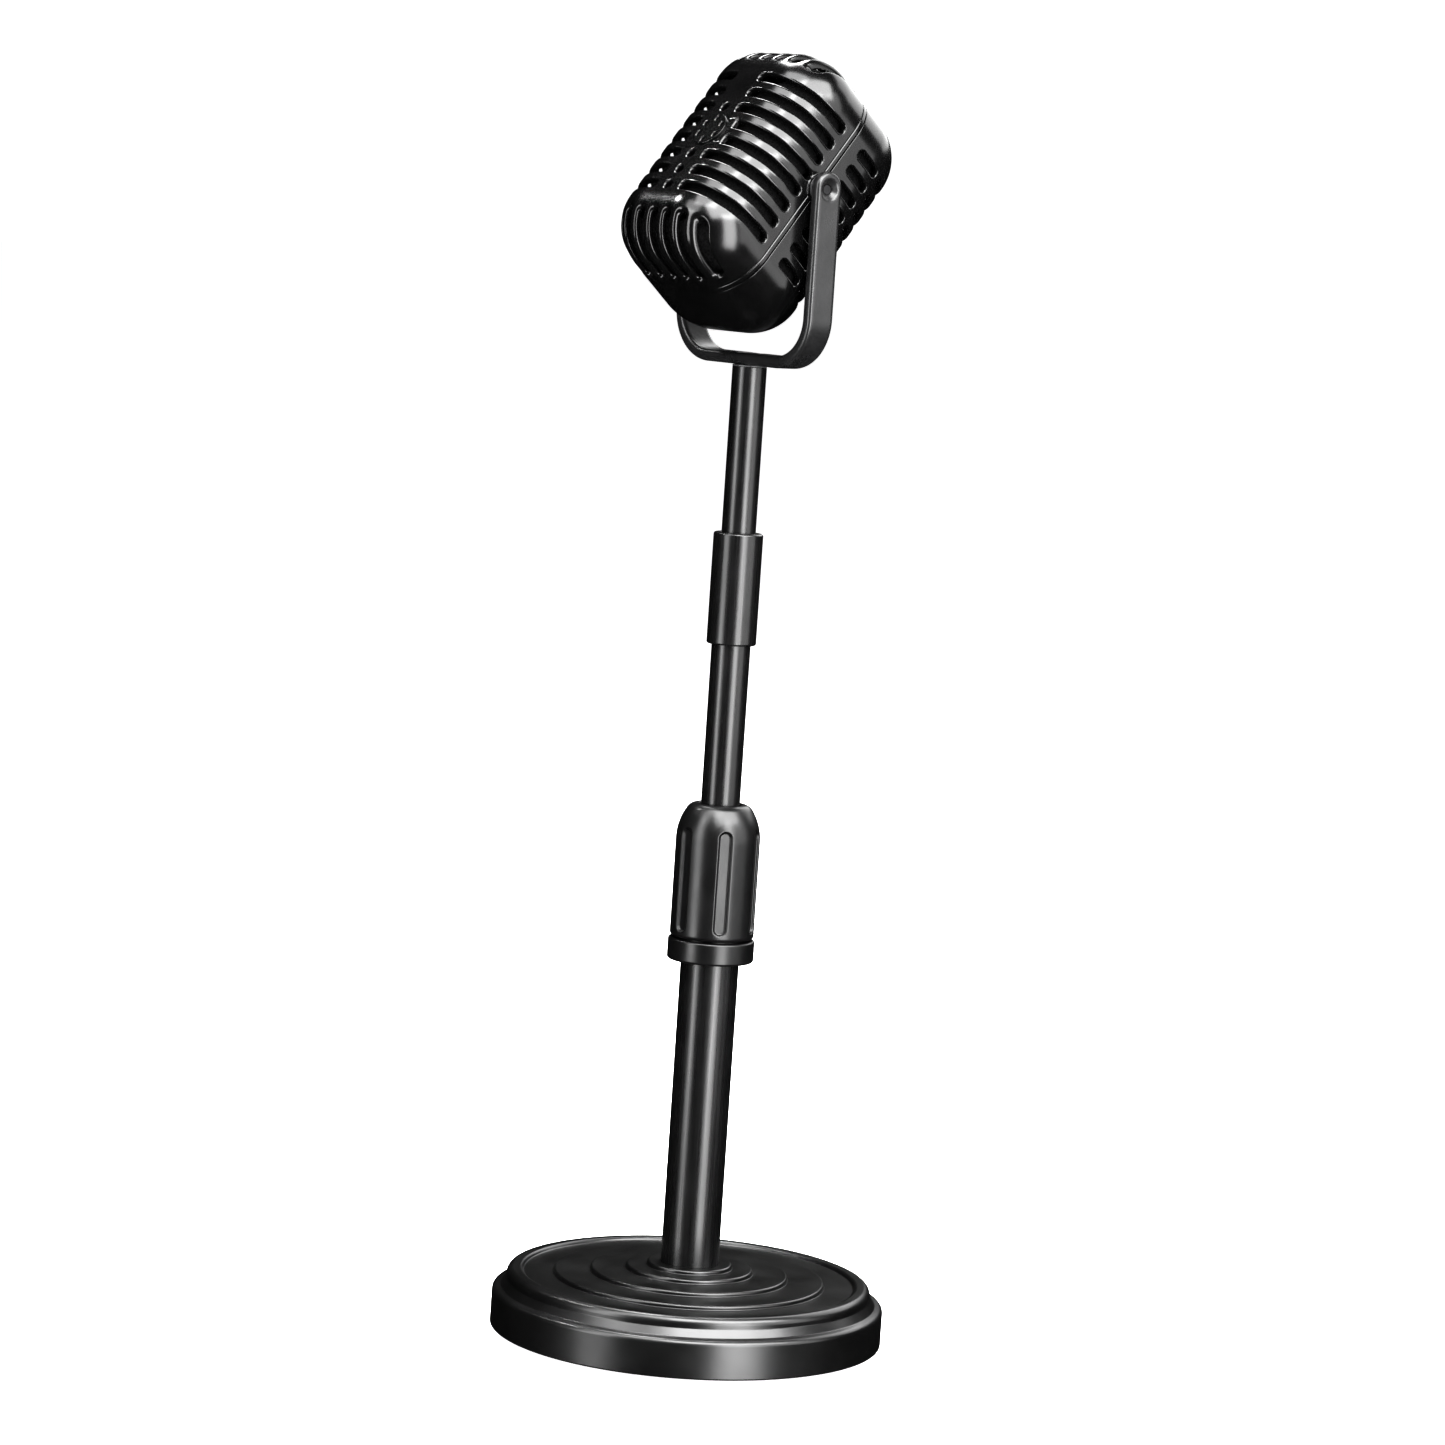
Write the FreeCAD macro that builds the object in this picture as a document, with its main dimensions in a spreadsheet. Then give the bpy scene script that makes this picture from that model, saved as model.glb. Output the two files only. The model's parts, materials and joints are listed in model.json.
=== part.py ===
"""Toy microphone: a slotted, pill-shaped head that tilts in a U-shaped yoke, on a
three-stage telescopic stem with a twist clutch and a round weighted base.

Frame: millimetres, +Z up along the stem, origin at the middle of the base's underside.
The head's pivot axis runs along X, and the front of the head faces -Y when upright.
"""
import FreeCAD, Part
import math
import os
import Sketcher
from FreeCAD import Placement, Rotation, Vector

DIMENSIONS = {
    # base
    "base_radius": 60.0, "base_wall_top": 12.0, "base_skin": 2.4, "foot_gap": 0.6,
    "shoulder_round": 1.6, "rim_radius": 55.8, "rim_top": 18.2, "rim_round": 2.2,
    "rim_width": 4.6, "rim_drop": 1.0, "ring_step": 1.3, "ring_round": 0.7,
    "ring_one": 41.5, "ring_two": 30.2, "ring_three": 19.4, "ring_four": 13.0,
    "socket_radius": 14.0, "socket_floor": 3.0, "socket_bottom": 5.0,
    "plate_bottom": 1.2, "plate_thick": 2.0, "plate_radius": 57.3, "plate_hole": 13.5,
    "weight_radius": 46.0, "weight_thick": 6.0, "weight_hole": 15.0,
    "post_radius": 3.4, "post_circle": 51.6, "screw_radius": 1.3, "screw_head": 2.6,
    "pad_radius": 5.0, "pad_circle": 40.0,
    "bolt_radius": 3.0, "bolt_head": 5.4, "washer_radius": 11.5, "washer_thick": 1.0,
    # stem
    "lower_radius": 8.9, "lower_bore": 7.9, "lower_foot": 8.0, "lower_top": 139.0,
    "middle_radius": 5.9, "middle_bore": 5.3, "middle_foot": 95.0, "middle_top": 231.0,
    "upper_radius": 5.17, "upper_bore": 4.57, "upper_foot": 170.0, "upper_top": 296.9,
    "slide_gap": 0.05, "bush_long": 10.0, "plug_long": 12.0,
    # twist clutch
    "clutch_bottom": 116.3, "clutch_ring_top": 123.0, "clutch_ring": 13.2,
    "stub_radius": 10.6, "stub_top": 139.0, "nut_bottom": 123.4, "nut_top": 164.3,
    "nut_radius": 12.8, "nut_mouth": 8.8, "nut_taper_from": 153.3, "nut_hole": 6.3,
    "nut_cavity": 10.7, "nut_shelf": 158.5, "groove_width": 3.6, "groove_depth": 1.1,
    "groove_bottom": 125.7, "groove_top": 157.0, "collet_top": 157.0, "collet_radius": 9.6,
    "groove_count": 6,
    # collar between the middle and the upper tube
    "collar_bottom": 213.0, "collar_top": 246.8, "collar_radius": 7.5, "collar_seat": 6.7,
    "collar_lip": 1.6, "collar_bush_long": 13.0,
    # yoke
    "yoke_span": 61.8, "yoke_thick": 3.6, "yoke_width": 9.6, "yoke_bottom": 297.4,
    "yoke_corner": 15.5, "yoke_edge": 0.8, "pivot_height": 351.0, "yoke_hole": 1.46,
    "dish_radius": 3.3, "dish_depth": 1.5, "yoke_screw_radius": 1.9, "yoke_screw_cone": 1.8,
    # head, about its own pivot
    "rest_tilt": 40.0, "head_width": 50.8, "head_deep": 54.4, "head_tall": 79.4,
    "head_corner": 18.0, "head_end": 15.2, "head_wall": 2.0, "head_drop": 2.8,
    "row_pitch": 6.2, "row_count": 8, "slot_wide": 3.0, "slot_from_seam": 4.5,
    "slot_start": 5.3, "hole_radius": 1.4, "hole_count": 6,
    "rear_slot_end": 14.5, "rear_slot_again": 17.2,
    "end_pitch": 6.0, "end_count": 7, "end_slot_from": 29.6, "end_slot_seam": 5.2,
    "badge_across": 1.4, "badge_radius": 5.8, "badge_ring": 4.1, "badge_hole": 0.6,
    "badge_thick": 0.8, "seat_half_wide": 8.0, "seat_half_tall": 4.7,
    "head_post_across": 8.5, "head_post_up": 26.3, "front_post": 2.8, "rear_post": 3.6,
    "head_screw": 1.3, "head_screw_head": 2.4, "counterbore": 2.6, "screw_seat": 12.0,
    "boss_radius": 4.2, "boss_inner": 19.0, "boss_stands": 1.2,
    "pin_radius": 1.4, "pin_flange": 3.2, "pin_flange_thick": 1.4, "pin_inset": 1.6,
    "washer_gap": 0.1, "foam_half_wide": 16.0, "foam_half_deep": 18.5, "foam_half_tall": 29.0,
    "foam_post_gap": 0.5, "beyond": 3.0,
}

doc = FreeCAD.newDocument("toy_microphone")
sheet = doc.addObject("Spreadsheet::Sheet", "dims")
for row, (alias, number) in enumerate(DIMENSIONS.items(), start=1):
    sheet.set(f"A{row}", alias)
    sheet.set(f"B{row}", str(number))
    sheet.setAlias(f"B{row}", alias)
doc.recompute()

SUB_PARTS = []


class Size:
    """A length: its value now, and the formula that ties it to the sheet."""

    def __init__(self, value, formula):
        self.value = value
        self.formula = formula

    def combine(self, other, sign, value):
        return Size(value, f"({self.formula} {sign} {as_size(other).formula})")

    def __add__(self, other):
        return self.combine(other, "+", self.value + as_size(other).value)

    def __sub__(self, other):
        return self.combine(other, "-", self.value - as_size(other).value)

    def __mul__(self, other):
        return self.combine(other, "*", self.value * as_size(other).value)

    def __truediv__(self, other):
        return self.combine(other, "/", self.value / as_size(other).value)

    def __neg__(self):
        return Size(-self.value, f"(0 - {self.formula})")


def as_size(number):
    return number if isinstance(number, Size) else Size(float(number), f"{number}")


class Sheet:
    """The sheet's cells by name, as sizes: d.base_radius."""

    def __getattr__(self, alias):
        return Size(DIMENSIONS[alias], f"dims.{alias}")


d = Sheet()


def bind(item, **sizes):
    """Tie properties of an object to the sheet: bind(pad, Length=d.row_pitch)."""
    for name, size in sizes.items():
        item.setExpression(name, as_size(size).formula)


# ---------------------------------------------------------------- sketches and features


def new_body(name):
    body = doc.addObject("PartDesign::Body", name)
    body.Label = name
    body.AllowCompound = True
    return body


def origin_feature(body, role):
    return [item for item in body.Origin.OriginFeatures if item.Role == role][0]


def sketch_on(body, role, offset=0):
    """A sketch on one of the body's origin planes, moved along the plane's normal."""
    sketch = body.newObject("Sketcher::SketchObject", body.Label + "_sketch")
    sketch.AttachmentSupport = (origin_feature(body, role), "")
    sketch.MapMode = "FlatFace"
    sketch.setExpression("AttachmentOffset.Base.z", as_size(offset).formula)
    return sketch


def fix_coordinate(sketch, kind, axis_line, geometry, point, size):
    """Hold one coordinate of a point at a size measured from the sketch's origin."""
    size = as_size(size)
    if size.value == 0:
        sketch.addConstraint(Sketcher.Constraint("PointOnObject", geometry, point, axis_line))
        return
    index = sketch.addConstraint(
        Sketcher.Constraint(kind, -1, 1, geometry, point, size.value))
    sketch.setExpression(f"Constraints[{index}]", size.formula)


def fix_point(sketch, geometry, point, place):
    fix_coordinate(sketch, "DistanceX", -2, geometry, point, place[0])
    fix_coordinate(sketch, "DistanceY", -1, geometry, point, place[1])


def vector_of(place):
    return Vector(as_size(place[0]).value, as_size(place[1]).value, 0)


def angle_from(centre, place):
    return math.atan2(place.y - centre.y, place.x - centre.x)


def add_arc(sketch, start, end, centre, turn):
    """An arc from start to end. turn is 1 for counter-clockwise and -1 for clockwise."""
    middle = vector_of(centre)
    first, last = (start, end) if turn > 0 else (end, start)
    from_angle = angle_from(middle, vector_of(first))
    to_angle = angle_from(middle, vector_of(last))
    if to_angle <= from_angle:
        to_angle += 2 * math.pi
    circle = Part.Circle(middle, Vector(0, 0, 1), (vector_of(start) - middle).Length)
    index = sketch.addGeometry(Part.ArcOfCircle(circle, from_angle, to_angle))
    chord = vector_of(end) - vector_of(start)
    if abs(chord.y) >= abs(chord.x):
        fix_coordinate(sketch, "DistanceX", -2, index, 3, centre[0])
    else:
        fix_coordinate(sketch, "DistanceY", -1, index, 3, centre[1])
    return index


def outline(sketch, start, steps):
    """Draw a closed outline. A step is (x, y) for a line or (x, y, centre_x, centre_y, turn)
    for an arc, and the last step ends at the start."""
    here = start
    ends = []
    for step in steps:
        there = step[:2]
        if len(step) == 2:
            line = Part.LineSegment(vector_of(here), vector_of(there))
            ends.append((sketch.addGeometry(line), 1, 2))
        else:
            index = add_arc(sketch, here, there, step[2:4], step[4])
            ends.append((index, 1, 2) if step[4] > 0 else (index, 2, 1))
        here = there
    corners = [start] + [step[:2] for step in steps[:-1]]
    for place, (index, first, _), (before, _, last) in zip(corners, ends, ends[-1:] + ends[:-1]):
        sketch.addConstraint(Sketcher.Constraint("Coincident", before, last, index, first))
        fix_point(sketch, index, first, place)


def circles(sketch, places, radius):
    """Full circles of one radius at the given places."""
    for place in places:
        circle = Part.Circle(vector_of(place), Vector(0, 0, 1), as_size(radius).value)
        index = sketch.addGeometry(circle)
        fix_point(sketch, index, 3, place)
        limit = sketch.addConstraint(Sketcher.Constraint("Radius", index, circle.Radius))
        sketch.setExpression(f"Constraints[{limit}]", as_size(radius).formula)


def rounded_rectangle(sketch, half_x, half_y, radius):
    """A rectangle with four equal round corners about the origin."""
    right, left, top, low = half_x, -half_x, half_y, -half_y
    outline(sketch, (left + radius, low), [
        (right - radius, low),
        (right, low + radius, right - radius, low + radius, 1),
        (right, top - radius),
        (right - radius, top, right - radius, top - radius, 1),
        (left + radius, top),
        (left, top - radius, left + radius, top - radius, 1),
        (left, low + radius),
        (left + radius, low, left + radius, low + radius, 1),
    ])


def half_slot_across(sketch, round_x, far_x, middle_y, half):
    """A slot whose rounded end is at round_x and whose square end is at far_x."""
    side = 1 if as_size(far_x).value > as_size(round_x).value else -1
    centre_x = as_size(round_x) + as_size(half) * side
    low, high = as_size(middle_y) - half, as_size(middle_y) + half
    outline(sketch, (far_x, low), [
        (far_x, high),
        (centre_x, high),
        (centre_x, low, centre_x, middle_y, side),
        (far_x, low),
    ])


def half_slot_up(sketch, middle_x, round_y, far_y, half):
    """A slot along y whose rounded end is at round_y and whose square end is at far_y."""
    side = 1 if as_size(far_y).value > as_size(round_y).value else -1
    centre_y = as_size(round_y) + as_size(half) * side
    left, right = as_size(middle_x) - half, as_size(middle_x) + half
    outline(sketch, (left, far_y), [
        (right, far_y),
        (right, centre_y),
        (left, centre_y, middle_x, centre_y, -side),
        (left, far_y),
    ])


def pad(body, sketch, length, symmetric=False, reverse=False):
    feature = body.newObject("PartDesign::Pad", body.Label + "_pad")
    feature.Profile = sketch
    if symmetric:
        feature.SideType = "Symmetric"
    feature.Reversed = reverse
    bind(feature, Length=length)
    return feature


def turn_round(body, sketch):
    feature = body.newObject("PartDesign::Revolution", body.Label + "_turned")
    feature.Profile = sketch
    feature.ReferenceAxis = (sketch, ["V_Axis"])
    feature.Angle = 360
    return feature


def pocket(body, sketch, length=None, reverse=False):
    """A pocket of a given length, or through everything both ways."""
    feature = body.newObject("PartDesign::Pocket", body.Label + "_pocket")
    feature.Profile = sketch
    if length is None:
        feature.Type = "ThroughAll"
        feature.SideType = "Symmetric"
    else:
        feature.Reversed = reverse
        bind(feature, Length=length)
    return feature


def round_edges(body, base, radius, wanted):
    """Round the edges of a feature for which wanted(edge) is true."""
    doc.recompute()
    names = [f"Edge{number}" for number, edge in enumerate(base.Shape.Edges, start=1)
             if wanted(edge)]
    feature = body.newObject("PartDesign::Fillet", body.Label + "_round")
    feature.Base = (base, names)
    bind(feature, Radius=radius)
    doc.recompute()
    return feature


def repeat(body, originals, sketch, axis, length, count):
    """Repeat features along a sketch axis."""
    feature = body.newObject("PartDesign::LinearPattern", body.Label + "_row")
    feature.Originals = originals
    feature.Direction = (sketch, [axis])
    bind(feature, Length=length, Occurrences=count)
    body.Tip = feature
    return feature


def turned_part(name, start, steps):
    """A body turned about Z from an outline of (radius, height) points."""
    body = new_body(name)
    sketch = sketch_on(body, "XZ_Plane")
    outline(sketch, start, steps)
    turn_round(body, sketch)
    return body


def tube(name, outer, inner, low, high):
    """A plain ring or tube about Z."""
    return turned_part(name, (inner, low),
                       [(outer, low), (outer, high), (inner, high), (inner, low)])


def cylinder(name, radius, height, place, axis=(0, 0, 1)):
    """A Part cylinder from a place along an axis."""
    item = doc.addObject("Part::Cylinder", name)
    item.Placement = Placement(Vector(0, 0, 0), Rotation(Vector(0, 0, 1), Vector(*axis)))
    bind(item, Radius=radius, Height=height)
    for letter, size in zip("xyz", place):
        item.setExpression(f"Placement.Base.{letter}", as_size(size).formula)
    return item


def box(name, low, size):
    item = doc.addObject("Part::Box", name)
    bind(item, Length=size[0], Width=size[1], Height=size[2])
    for letter, place in zip("xyz", low):
        item.setExpression(f"Placement.Base.{letter}", as_size(place).formula)
    return item


def joined(name, items):
    item = doc.addObject("Part::MultiFuse", name)
    item.Shapes = items
    return item


def group(name, items):
    """Separate solids kept together as one sub-part."""
    item = doc.addObject("Part::Compound", name)
    item.Links = items
    return item


def cut(name, base, tool):
    item = doc.addObject("Part::Cut", name)
    item.Base = base
    item.Tool = tool
    return item


def common(name, first, second):
    item = doc.addObject("Part::MultiCommon", name)
    item.Shapes = [first, second]
    return item


def mirrored(name, source, normal, height=0):
    """A mirror image across the plane through (0, 0, height) with the given normal."""
    item = doc.addObject("Part::Mirroring", name)
    item.Source = source
    item.Normal = Vector(*normal)
    item.setExpression("Base.z", as_size(height).formula)
    return item


def sub_part(item, name):
    item.Label = name
    SUB_PARTS.append(item)
    return item


def in_head(item):
    """Put a piece that is drawn about the pivot where the tilted head is."""
    item.Placement = Placement(Vector(0, 0, 0), Rotation(Vector(-1, 0, 0), 1))
    item.setExpression("Placement.Base.z", "dims.pivot_height")
    item.setExpression("Placement.Rotation.Angle", "dims.rest_tilt")
    return item


def around(radius, count, first_angle=45.0):
    """Places spread evenly on a circle, as sizes tied to its radius."""
    places = []
    for number in range(count):
        angle = math.radians(first_angle + 360.0 * number / count)
        places.append((radius * round(math.cos(angle), 9), radius * round(math.sin(angle), 9)))
    return places


# ---------------------------------------------------------------- base


def ring_steps():
    """The terraces of the base's top, from the rim in to the stem."""
    steps = []
    level = d.rim_top - d.rim_drop
    for ring in (d.ring_one, d.ring_two, d.ring_three, d.ring_four):
        raised = level + d.ring_step
        steps.append((ring, level))
        steps.append((ring, raised - d.ring_round))
        steps.append((ring - d.ring_round, raised,
                      ring - d.ring_round, raised - d.ring_round, 1))
        level = raised
    return steps, level


def make_base_shell():
    terraces, centre_level = ring_steps()
    rim_inner = d.rim_radius - d.rim_width
    shoulder_in = d.base_radius - d.shoulder_round
    inner_wall = d.base_radius - d.base_skin
    ceiling = d.base_wall_top - d.base_skin
    shell = turned_part("base_form", (d.base_radius, d.foot_gap), [
        (d.base_radius, d.base_wall_top - d.shoulder_round),
        (shoulder_in, d.base_wall_top, shoulder_in, d.base_wall_top - d.shoulder_round, 1),
        (d.rim_radius, d.base_wall_top),
        (d.rim_radius, d.rim_top - d.rim_round),
        (d.rim_radius - d.rim_round, d.rim_top,
         d.rim_radius - d.rim_round, d.rim_top - d.rim_round, 1),
        (rim_inner, d.rim_top),
        (rim_inner - d.rim_drop, d.rim_top - d.rim_drop),
        *terraces,
        (d.lower_radius, centre_level),
        (d.lower_radius, d.lower_foot),
        (d.bolt_radius, d.lower_foot),
        (d.bolt_radius, d.socket_bottom),
        (d.socket_radius, d.socket_bottom),
        (d.socket_radius, d.rim_top - d.rim_drop - d.ring_round),
        (d.rim_radius - d.base_skin, d.rim_top - d.rim_drop - d.base_skin),
        (d.rim_radius - d.base_skin, ceiling),
        (inner_wall, ceiling),
        (inner_wall, d.foot_gap),
        (d.base_radius, d.foot_gap),
    ])
    plate_top = d.plate_bottom + d.plate_thick
    posts = [cylinder(f"base_post_{number}", d.post_radius,
                      d.base_wall_top - plate_top - d.base_skin / 2, (*place, plate_top))
             for number, place in enumerate(around(d.post_circle, 4))]
    bores = [cylinder(f"base_post_bore_{number}", d.screw_radius,
                      d.screw_head * 2, (*place, plate_top))
             for number, place in enumerate(around(d.post_circle, 4))]
    whole = joined("base_with_posts", [shell, *posts])
    sub_part(cut("base_shell_cut", whole, group("base_post_bores", bores)), "base_shell")


def make_base_inside():
    plate_top = d.plate_bottom + d.plate_thick
    sub_part(tube("base_weight", d.weight_radius, d.weight_hole,
                  plate_top, plate_top + d.weight_thick), "base_weight")

    plate = new_body("base_bottom_plate")
    face = sketch_on(plate, "XY_Plane", d.plate_bottom)
    circles(face, [(0, 0)], d.plate_radius)
    circles(face, [(0, 0)], d.plate_hole)
    circles(face, around(d.post_circle, 4), d.screw_radius)
    pad(plate, face, d.plate_thick)
    sub_part(plate, "base_bottom_plate")

    pads = new_body("anti_slip_pads")
    face = sketch_on(pads, "XY_Plane")
    circles(face, around(d.pad_circle, 4, 0.0), d.pad_radius)
    pad(pads, face, d.plate_bottom)
    sub_part(pads, "anti_slip_pads")

    screws = new_body("base_screws")
    face = sketch_on(screws, "XY_Plane", d.plate_bottom)
    circles(face, around(d.post_circle, 4), d.screw_head)
    pad(screws, face, d.plate_bottom - 0.3, reverse=True)
    face = sketch_on(screws, "XY_Plane", d.plate_bottom)
    circles(face, around(d.post_circle, 4), d.screw_radius)
    pad(screws, face, d.plate_thick + d.screw_head * 2 - 1)
    sub_part(screws, "base_screws")


def make_stem_fastening():
    washer_bottom = d.socket_bottom - d.washer_thick
    sub_part(tube("stem_washer", d.washer_radius, d.bolt_radius,
                  washer_bottom, d.socket_bottom), "stem_washer")
    bolt = turned_part("stem_bolt", (0, d.foot_gap), [
        (d.bolt_head, d.foot_gap),
        (d.bolt_head, washer_bottom),
        (d.bolt_radius, washer_bottom),
        (d.bolt_radius, d.lower_foot + d.plug_long - 2),
        (0, d.lower_foot + d.plug_long - 2),
        (0, d.foot_gap),
    ])
    sub_part(bolt, "stem_bolt")
    sub_part(tube("stem_plug", d.lower_bore, d.bolt_radius,
                  d.lower_foot, d.lower_foot + d.plug_long), "stem_plug")


# ---------------------------------------------------------------- stem


def make_tubes():
    sub_part(tube("lower_tube", d.lower_radius, d.lower_bore,
                  d.lower_foot, d.lower_top), "lower_tube")
    sub_part(tube("middle_tube", d.middle_radius, d.middle_bore,
                  d.middle_foot, d.middle_top), "middle_tube")
    sub_part(tube("middle_tube_bush", d.lower_bore - d.slide_gap, d.middle_radius,
                  d.middle_foot, d.middle_foot + d.bush_long), "middle_tube_bush")
    sub_part(tube("upper_tube", d.upper_radius, d.upper_bore,
                  d.upper_foot, d.upper_top), "upper_tube")
    wide = d.middle_bore - d.slide_gap
    bush = turned_part("upper_tube_bush", (d.upper_bore / 2, d.upper_foot - 4), [
        (wide, d.upper_foot - 4),
        (wide, d.upper_foot),
        (d.upper_bore, d.upper_foot),
        (d.upper_bore, d.upper_foot + d.bush_long),
        (d.upper_bore / 2, d.upper_foot + d.bush_long),
        (d.upper_bore / 2, d.upper_foot - 4),
    ])
    sub_part(bush, "upper_tube_bush")


def make_clutch():
    body = turned_part("clutch_body", (d.lower_radius, d.clutch_bottom), [
        (d.clutch_ring, d.clutch_bottom),
        (d.clutch_ring, d.clutch_ring_top),
        (d.stub_radius, d.clutch_ring_top),
        (d.stub_radius, d.stub_top),
        (d.lower_radius, d.stub_top),
        (d.lower_radius, d.clutch_bottom),
    ])
    sub_part(body, "clutch_body")

    grip = d.middle_radius + d.slide_gap
    collet = turned_part("clutch_collet", (grip, d.lower_top), [
        (d.collet_radius, d.lower_top),
        (d.collet_radius, d.nut_taper_from),
        (d.collet_radius - 1.6, d.collet_top),
        (grip, d.collet_top),
        (grip, d.lower_top),
    ])
    slits = sketch_on(collet, "XY_Plane", d.lower_top + 4)
    half_slit, reach = d.slide_gap * 8, d.collet_radius + 1
    outline(slits, (-half_slit, -reach), [
        (half_slit, -reach), (half_slit, -half_slit), (reach, -half_slit),
        (reach, half_slit), (half_slit, half_slit), (half_slit, reach),
        (-half_slit, reach), (-half_slit, half_slit), (-reach, half_slit),
        (-reach, -half_slit), (-half_slit, -half_slit), (-half_slit, -reach),
    ])
    pocket(collet, slits, d.collet_top - d.lower_top, reverse=True)
    sub_part(collet, "clutch_collet")


def make_clutch_nut():
    taper_tall = DIMENSIONS["nut_top"] - DIMENSIONS["nut_taper_from"]
    taper_in = DIMENSIONS["nut_radius"] - DIMENSIONS["nut_mouth"]
    taper_arc = (taper_tall ** 2 + taper_in ** 2) / (2 * taper_in)
    nut = turned_part("clutch_nut", (d.nut_cavity, d.nut_bottom), [
        (d.nut_radius, d.nut_bottom),
        (d.nut_radius, d.nut_taper_from),
        (d.nut_mouth, d.nut_top, d.nut_radius - round(taper_arc, 6), d.nut_taper_from, 1),
        (d.nut_hole, d.nut_top),
        (d.nut_hole, d.nut_shelf),
        (d.nut_cavity - 1.6, d.nut_shelf),
        (d.nut_cavity, d.nut_taper_from),
        (d.nut_cavity, d.nut_bottom),
    ])
    flute = sketch_on(nut, "XZ_Plane", d.nut_radius - d.groove_depth)
    half = d.groove_width / 2
    outline(flute, (half, d.groove_bottom + half), [
        (half, d.groove_top - half),
        (-half, d.groove_top - half, 0, d.groove_top - half, 1),
        (-half, d.groove_bottom + half),
        (half, d.groove_bottom + half, 0, d.groove_bottom + half, 1),
    ])
    groove = pocket(nut, flute, d.groove_depth + 1, reverse=True)
    ring = nut.newObject("PartDesign::PolarPattern", "clutch_nut_grooves")
    ring.Originals = [groove]
    ring.Axis = (origin_feature(nut, "Z_Axis"), [""])
    ring.Angle = 360
    bind(ring, Occurrences=d.groove_count)
    nut.Tip = ring
    sub_part(nut, "clutch_nut")


def make_collar():
    seat = d.collar_top - d.collar_lip
    sleeve = turned_part("collar_sleeve", (d.middle_radius, d.collar_bottom), [
        (d.collar_radius, d.collar_bottom),
        (d.collar_radius, d.collar_top),
        (d.upper_radius + d.slide_gap * 3, d.collar_top),
        (d.upper_radius + d.slide_gap * 3, seat),
        (d.collar_seat, seat),
        (d.collar_seat, d.middle_top),
        (d.middle_radius, d.middle_top),
        (d.middle_radius, d.collar_bottom),
    ])
    sub_part(sleeve, "collar_sleeve")
    sub_part(tube("collar_bush", d.collar_seat, d.upper_radius + d.slide_gap,
                  d.middle_top, d.middle_top + d.collar_bush_long), "collar_bush")


# ---------------------------------------------------------------- yoke


def make_yoke_fastening():
    sub_part(tube("yoke_plug", d.upper_bore, d.yoke_screw_radius,
                  d.upper_top - d.plug_long, d.upper_top), "yoke_plug")
    sub_part(tube("yoke_washer", d.upper_radius, d.yoke_screw_radius,
                  d.upper_top, d.yoke_bottom - d.washer_gap), "yoke_washer")
    top = d.yoke_bottom + d.yoke_thick - d.washer_gap
    screw = turned_part("yoke_screw", (0, d.upper_top - d.plug_long + 2), [
        (d.yoke_screw_radius, d.upper_top - d.plug_long + 2),
        (d.yoke_screw_radius, top - d.yoke_screw_cone),
        (d.yoke_screw_radius + d.yoke_screw_cone, top),
        (0, top),
        (0, d.upper_top - d.plug_long + 2),
    ])
    sub_part(screw, "yoke_screw")


def make_yoke():
    yoke = new_body("yoke_form")
    half, inner = d.yoke_span / 2, d.yoke_span / 2 - d.yoke_thick
    low, bar_top = d.yoke_bottom, d.yoke_bottom + d.yoke_thick
    top = d.pivot_height + d.yoke_width / 2 + 0.6
    corner = low + d.yoke_corner
    bend = half - d.yoke_corner
    front = sketch_on(yoke, "XZ_Plane")
    outline(front, (-bend, low), [
        (bend, low),
        (half, corner, bend, corner, 1),
        (half, top),
        (inner, top),
        (inner, corner),
        (bend, bar_top, bend, corner, -1),
        (-bend, bar_top),
        (-inner, corner, -bend, corner, -1),
        (-inner, top),
        (-half, top),
        (-half, corner),
        (-bend, low, -bend, corner, 1),
    ])
    band = pad(yoke, front, d.yoke_width, symmetric=True)
    high = DIMENSIONS["pivot_height"]

    def arm_end(edge):
        middle = edge.BoundBox.Center
        return (middle.z > high and edge.BoundBox.YLength < 0.1
                and edge.BoundBox.ZLength < 0.1)

    ends = round_edges(yoke, band, d.yoke_width / 2 - 0.05, arm_end)

    def long_edge(edge):
        return edge.BoundBox.XLength > 0.1 or edge.BoundBox.ZLength > 5

    round_edges(yoke, ends, d.yoke_edge, long_edge)
    side = sketch_on(yoke, "YZ_Plane")
    circles(side, [(0, d.pivot_height)], d.yoke_hole)
    pocket(yoke, side)
    under = sketch_on(yoke, "XY_Plane", low - 1)
    circles(under, [(0, 0)], d.yoke_screw_radius + d.slide_gap * 2)
    pocket(yoke, under, d.yoke_thick + 2, reverse=True)
    hollows = []
    for side_name, sign in (("right", 1), ("left", -1)):
        dish = doc.addObject("Part::Cone", f"yoke_dish_{side_name}")
        dish.Placement = Placement(Vector(0, 0, 0),
                                   Rotation(Vector(0, 0, 1), Vector(sign, 0, 0)))
        bind(dish, Radius1=d.yoke_hole, Radius2=d.dish_radius + 0.5, Height=d.dish_depth + 0.5)
        dish.setExpression("Placement.Base.x", ((half - d.dish_depth) * sign).formula)
        dish.setExpression("Placement.Base.z", "dims.pivot_height")
        hollows.append(dish)
    countersink = doc.addObject("Part::Cone", "yoke_countersink")
    hole, deep = d.yoke_screw_radius + d.slide_gap * 2, d.yoke_screw_cone + 1
    bind(countersink, Radius1=hole, Radius2=hole + deep, Height=deep)
    countersink.setExpression("Placement.Base.z",
                              (bar_top - d.washer_gap - d.yoke_screw_cone).formula)
    hollows.append(countersink)
    sub_part(cut("yoke_cut", yoke, group("yoke_hollows", hollows)), "yoke")


# ---------------------------------------------------------------- head


def row_height(number):
    """Height of a slot row above the pivot, from the lowest row up."""
    return d.row_pitch * (number - (DIMENSIONS["row_count"] - 1) / 2) - d.head_drop


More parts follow.
